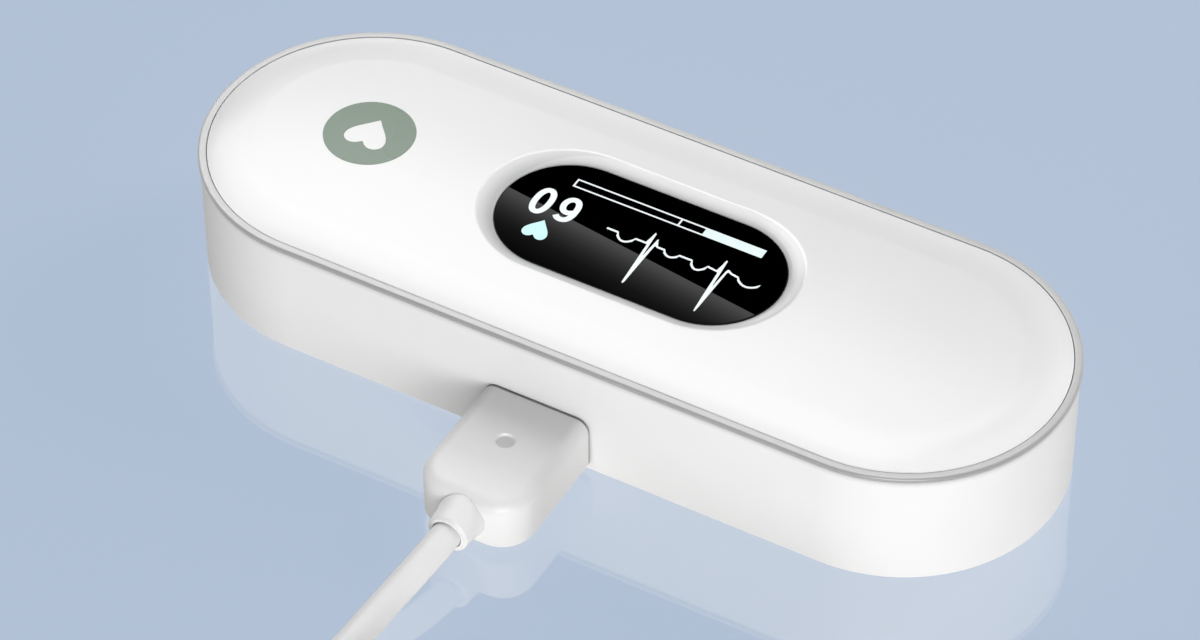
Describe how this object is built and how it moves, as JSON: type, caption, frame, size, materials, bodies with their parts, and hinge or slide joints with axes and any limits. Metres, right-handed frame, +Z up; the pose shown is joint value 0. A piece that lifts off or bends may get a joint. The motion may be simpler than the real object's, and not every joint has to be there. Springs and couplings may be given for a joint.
{
  "type": "pocket ecg monitor",
  "caption": "Pill-shaped home ECG monitor with a black display window, a side button, finger electrodes underneath and a USB lead plugged into its edge.",
  "frame": {"origin": "middle of the body's flat underside, on the surface it lies on", "axes": "+X along the body's length, +Y towards the side with the button, +Z up through the cover; the lead leaves towards -Y"},
  "size_m": [0.0978, 0.1192, 0.0155],
  "materials": {
    "shell_satin": "satin moulded ABS, warm white",
    "cover_gloss": "high gloss white",
    "trim_silver": "fine satin, pale silver",
    "seal_silicone": "matt silicone",
    "screw_steel": "plain",
    "window_glass": "polished, printed black behind",
    "tape_black": "foam tape",
    "panel_glass": "polished display cell",
    "frame_black": "moulded",
    "flex_amber": "polyimide film",
    "board_green": "solder resist on glass fibre",
    "battery_foil": "laminated pouch foil",
    "connector_ivory": "moulded",
    "wire_red": "insulated wire",
    "can_tinplate": "tin plate",
    "chip_black": "moulded epoxy",
    "contact_gold": "gold plated",
    "electrode_steel": "polished stainless",
    "socket_nickel": "nickel plate",
    "button_grey": "satin",
    "plug_white": "satin elastomer overmould",
    "cable_white": "smooth jacket",
    "tie_grey": "silicone strap",
    "insert_white": "moulded",
    "emblem_sage": "pad printed ink, under the gloss",
    "display_lit": "emissive display pixels"
  },
  "bodies": {
    "case": {"lower_shell": "shell_satin", "top_cover": "cover_gloss", "trim_ring": "trim_silver", "case_seal": "seal_silicone", "case_screws": "screw_steel", "display_window": "window_glass", "window_adhesive": "tape_black", "oled_panel": "panel_glass", "display_frame": "frame_black", "oled_flex": "flex_amber", "main_pcb": "board_green", "pcb_screws": "screw_steel", "battery_cell": "battery_foil", "battery_tape": "tape_black", "battery_connector": "connector_ivory", "battery_leads": "wire_red", "afe_shield_can": "can_tinplate", "afe_chip": "chip_black", "bluetooth_module": "can_tinplate", "microcontroller": "chip_black", "charger_chip": "chip_black", "display_connector": "connector_ivory", "electrode_contacts": "contact_gold", "left_electrode": "electrode_steel", "right_electrode": "electrode_steel", "reference_electrode": "electrode_steel", "usb_receptacle_shell": "socket_nickel", "usb_receptacle_tongue": "chip_black", "tact_switch": "chip_black", "button_gasket": "seal_silicone"},
    "side_key": {"side_button": "button_grey", "switch_plunger": "connector_ivory"},
    "charging_lead": {"plug_overmould": "plug_white", "plug_shell": "socket_nickel", "plug_contacts": "chip_black", "strain_relief": "plug_white", "lead_cable": "cable_white", "lead_coil": "cable_white", "lead_tail": "cable_white", "coil_tie": "tie_grey", "usb_a_overmould": "plug_white", "usb_a_shell": "socket_nickel", "usb_a_insert": "insert_white"}
  },
  "joints": [
    {"name": "key_press", "type": "slide", "parent": "case", "child": "side_key", "axis": [0, -1, 0], "range_m": [0, 0.00035], "stiffness_N_per_m": 1500, "springref_m": -0.0003},
    {"name": "plug_pull", "type": "slide", "parent": "case", "child": "charging_lead", "axis": [0, -1, 0], "range_m": [0, 0.012]}
  ]
}
